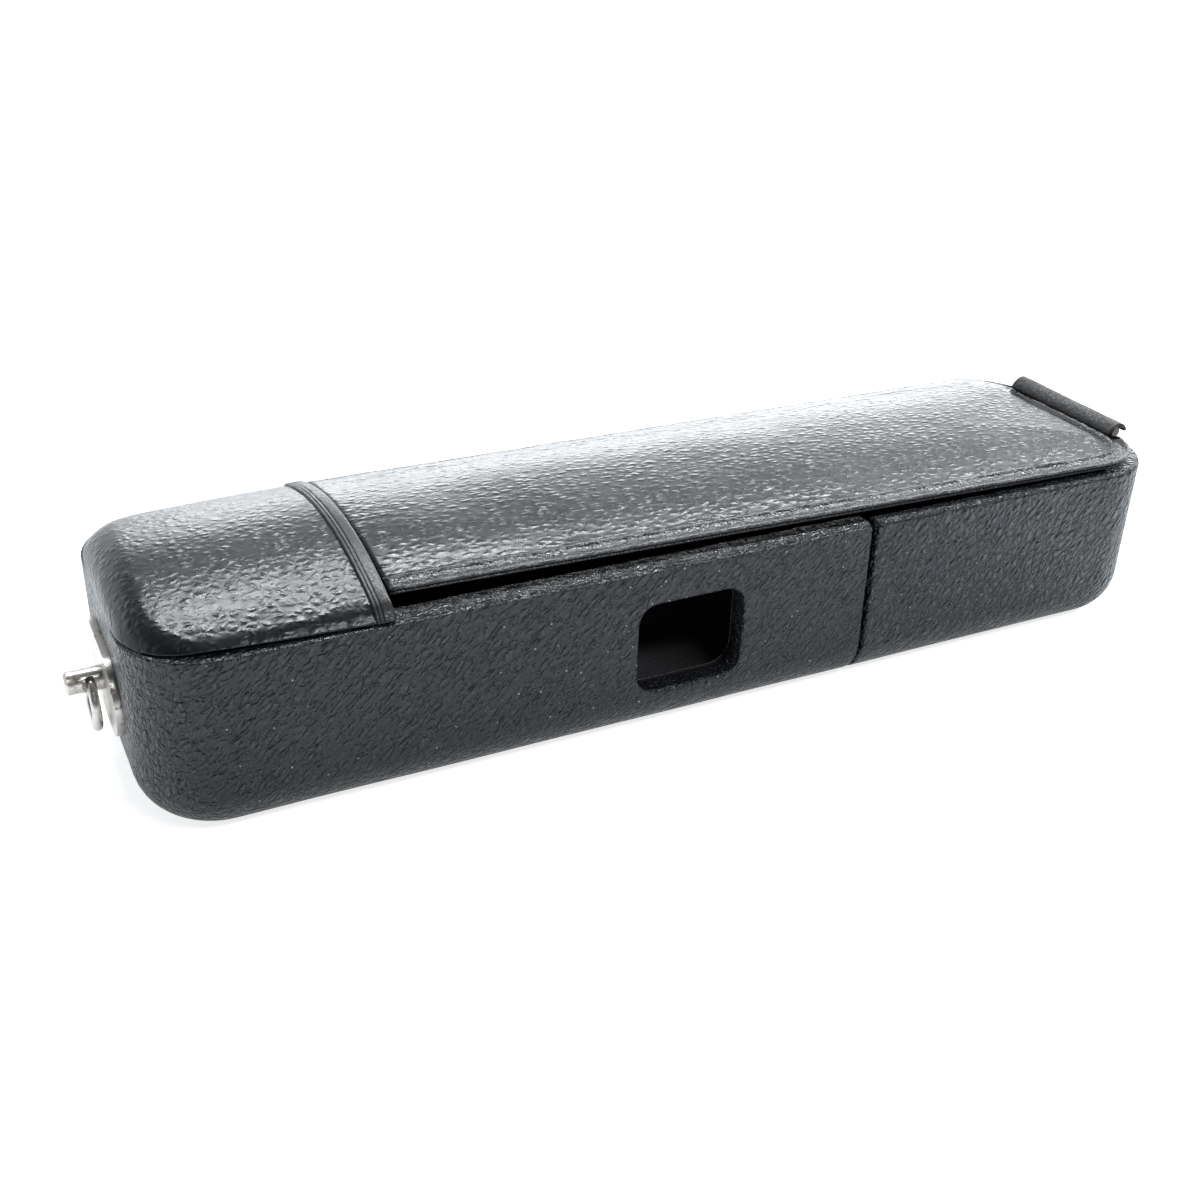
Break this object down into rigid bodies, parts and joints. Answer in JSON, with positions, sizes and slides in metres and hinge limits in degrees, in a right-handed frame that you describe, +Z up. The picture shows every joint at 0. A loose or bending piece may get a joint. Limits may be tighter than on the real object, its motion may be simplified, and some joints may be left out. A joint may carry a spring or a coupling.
{
  "type": "camera case",
  "caption": "Long slim black leather camera case: a crowned hinged lid over a tray with a sliding sleeve, a window in the front wall and a chain ring on the end.",
  "frame": {"origin": "middle of the flat underside of the closed case's body", "axes": "+X along the case from the chain end to the hinge end, +Y from the window wall to the back wall, +Z up from the base to the lid"},
  "size_m": [0.1324, 0.035, 0.0257],
  "materials": {
    "black_leather": "pebbled, satin gloss",
    "black_board": "dyed fibreboard, matt",
    "lining_cloth": "short black velvet",
    "felt": "felt",
    "nickel": "worn nickel plate",
    "steel": "plain"
  },
  "bodies": {
    "tray": {"tray_board": "black_board", "tray_leather": "black_leather", "tray_neck": "black_board", "tray_lining": "lining_cloth", "tray_end_pad": "felt", "tray_hinge_leaf": "steel", "tray_leaf_rivets": "steel", "hinge_pin": "steel"},
    "sleeve": {"sleeve_board": "black_board", "sleeve_leather": "black_leather", "sleeve_end_pad": "felt", "cap_board": "black_board", "cap_leather": "black_leather", "cap_band": "black_leather", "cap_lining": "lining_cloth", "end_plate": "nickel", "plate_rivets": "nickel", "chain_stud": "nickel", "stud_washer": "steel"},
    "lid": {"lid_board": "black_board", "lid_leather": "black_leather", "lid_lining": "lining_cloth", "lid_hinge_leaf": "steel", "lid_leaf_rivets": "steel", "hinge_cover": "black_leather"},
    "ring": {"chain_ring": "nickel"}
  },
  "joints": [
    {"name": "case_slide", "type": "slide", "parent": "tray", "child": "sleeve", "axis": [-1, 0, 0], "range_m": [0, 0.022]},
    {"name": "lid_hinge", "type": "hinge", "parent": "tray", "child": "lid", "pos_m": [0.06255, 0, 0.02265], "axis": [0, 1, 0], "range_deg": [0, 105]},
    {"name": "ring_swing", "type": "hinge", "parent": "sleeve", "child": "ring", "pos_m": [-0.0659, 0, 0.0116], "axis": [0, 1, 0], "range_deg": [-4, 175]}
  ]
}
